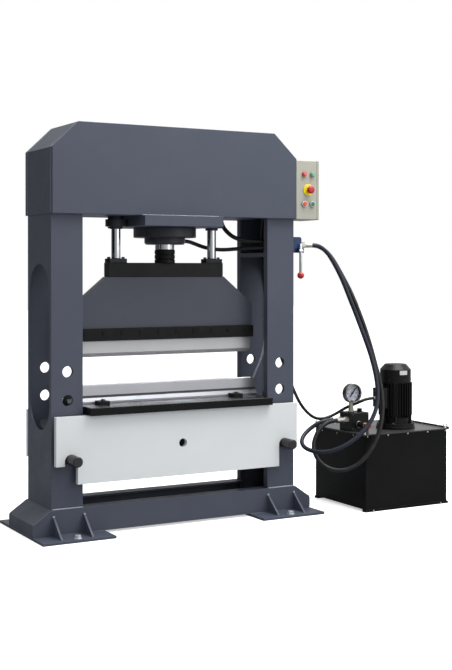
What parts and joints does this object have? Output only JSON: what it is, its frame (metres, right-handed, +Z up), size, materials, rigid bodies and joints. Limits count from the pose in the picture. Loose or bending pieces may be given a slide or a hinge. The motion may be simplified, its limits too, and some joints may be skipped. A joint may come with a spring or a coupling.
{
  "type": "hydraulic press",
  "caption": "Floor-standing H-frame hydraulic bending press with a wide punch and V die on a pinned bed, a control box, a lever valve and a separate power pack joined by hoses.",
  "frame": {"origin": "middle of the whole object's footprint (press and power pack, without the free lines), on the floor", "axes": "+X to the operator's right, towards the power pack, +Y to the back of the press, +Z up"},
  "size_m": [2.26, 0.7276, 1.936],
  "materials": {
    "frame_paint": "satin blue-grey enamel",
    "bed_paint": "light grey satin enamel",
    "box_paint": "light grey powder coat",
    "black_paint": "black satin enamel",
    "black_steel": "blackened, oiled",
    "gloss_black": "black gloss enamel",
    "ground_steel": "ground bright",
    "chrome_rod": "hard chrome, polished",
    "zinc_steel": "zinc plated",
    "dark_grey_metal": "dark grey satin",
    "blue_paint": "blue gloss enamel",
    "red_plastic": "red",
    "green_plastic": "green",
    "orange_plastic": "orange-red",
    "lens": "coloured lens",
    "hose_rubber": "matt, slightly glossy cover",
    "cable_sheath": "matt black",
    "clear_plastic": "clear, a little milky",
    "gauge_case": "bright case with white dial"
  },
  "bodies": {
    "frame": {"left_foot": "frame_paint", "right_foot": "frame_paint", "anchor_bolts": "zinc_steel", "base_front_beam": "frame_paint", "base_rear_beam": "frame_paint", "left_column": "frame_paint", "right_column": "frame_paint", "head_front_plate": "frame_paint", "head_rear_plate": "frame_paint", "head_wrap": "frame_paint", "head_floor_plate": "frame_paint", "cylinder_mount_plate": "frame_paint", "cylinder_barrel": "dark_grey_metal", "cylinder_gland": "dark_grey_metal", "guide_bushes": "dark_grey_metal", "bed_front_plate": "bed_paint", "bed_rear_plate": "bed_paint", "bed_spacers": "frame_paint", "bed_pins": "black_steel", "table_plate": "gloss_black", "die_rail": "ground_steel", "die_block": "ground_steel", "die_clamps": "black_steel", "clamp_bolts": "zinc_steel", "control_box": "box_paint", "pilot_lights": "lens", "valve_body": "blue_paint", "tank": "black_paint", "tank_lid": "black_paint", "motor_housing": "black_paint", "fan_cowl": "black_paint", "terminal_box": "black_paint", "oil_pump": "dark_grey_metal", "manifold_block": "dark_grey_metal", "pressure_gauge": "gauge_case", "line_fittings": "zinc_steel", "pressure_hose": "hose_rubber", "return_hose": "hose_rubber", "motor_cable": "cable_sheath", "upper_cylinder_hose": "hose_rubber", "lower_cylinder_hose": "hose_rubber", "drain_tube": "clear_plastic"},
    "ram": {"piston_rod": "chrome_rod", "rod_adapter": "black_steel", "ram_plate": "black_paint", "left_guide_rod": "chrome_rod", "right_guide_rod": "chrome_rod", "punch_body": "frame_paint", "punch_clamp_bar": "black_steel", "clamp_bar_screws": "zinc_steel", "punch_blade": "ground_steel"},
    "valve_handle": {"valve_lever": "zinc_steel", "lever_ball": "red_plastic"},
    "estop_head": {"estop_button": "red_plastic"},
    "stop_head": {"stop_button": "orange_plastic"},
    "start_head": {"start_button": "green_plastic"},
    "box_door": {"control_box_door": "box_paint"},
    "needle": {"gauge_needle": "black_paint"},
    "pressure_knob": {"relief_knob": "red_plastic"},
    "rotor": {"motor_rotor": "dark_grey_metal"}
  },
  "joints": [
    {"name": "ram_stroke", "type": "slide", "parent": "frame", "child": "ram", "axis": [0, 0, -1], "range_m": [0, 0.15]},
    {"name": "valve_lever_swing", "type": "hinge", "parent": "frame", "child": "valve_handle", "pos_m": [0.328, -0.125, 1.34], "axis": [1, 0, 0], "range_deg": [-15, 15]},
    {"name": "estop_push", "type": "slide", "parent": "frame", "child": "estop_head", "axis": [0, 1, 0], "range_m": [0, 0.006], "stiffness_N_per_m": 900},
    {"name": "stop_push", "type": "slide", "parent": "frame", "child": "stop_head", "axis": [0, 1, 0], "range_m": [0, 0.004], "stiffness_N_per_m": 600},
    {"name": "start_push", "type": "slide", "parent": "frame", "child": "start_head", "axis": [0, 1, 0], "range_m": [0, 0.004], "stiffness_N_per_m": 600},
    {"name": "box_door_hinge", "type": "hinge", "parent": "frame", "child": "box_door", "pos_m": [0.423, 0.042, 1.655], "axis": [0, 0, 1], "range_deg": [0, 110]},
    {"name": "gauge_needle_sweep", "type": "hinge", "parent": "frame", "child": "needle", "pos_m": [0.614, -0.181, 0.596], "axis": [0, 1, 0], "range_deg": [-175, 95]},
    {"name": "relief_knob_turn", "type": "hinge", "parent": "frame", "child": "pressure_knob", "pos_m": [0.636, -0.288, 0.435], "axis": [0, -1, 0], "range_deg": [-170, 170]},
    {"name": "motor_spin", "type": "hinge", "parent": "frame", "child": "rotor", "pos_m": [0.889, -0.187, 0.538], "axis": [0, 0, 1], "continuous": true}
  ]
}
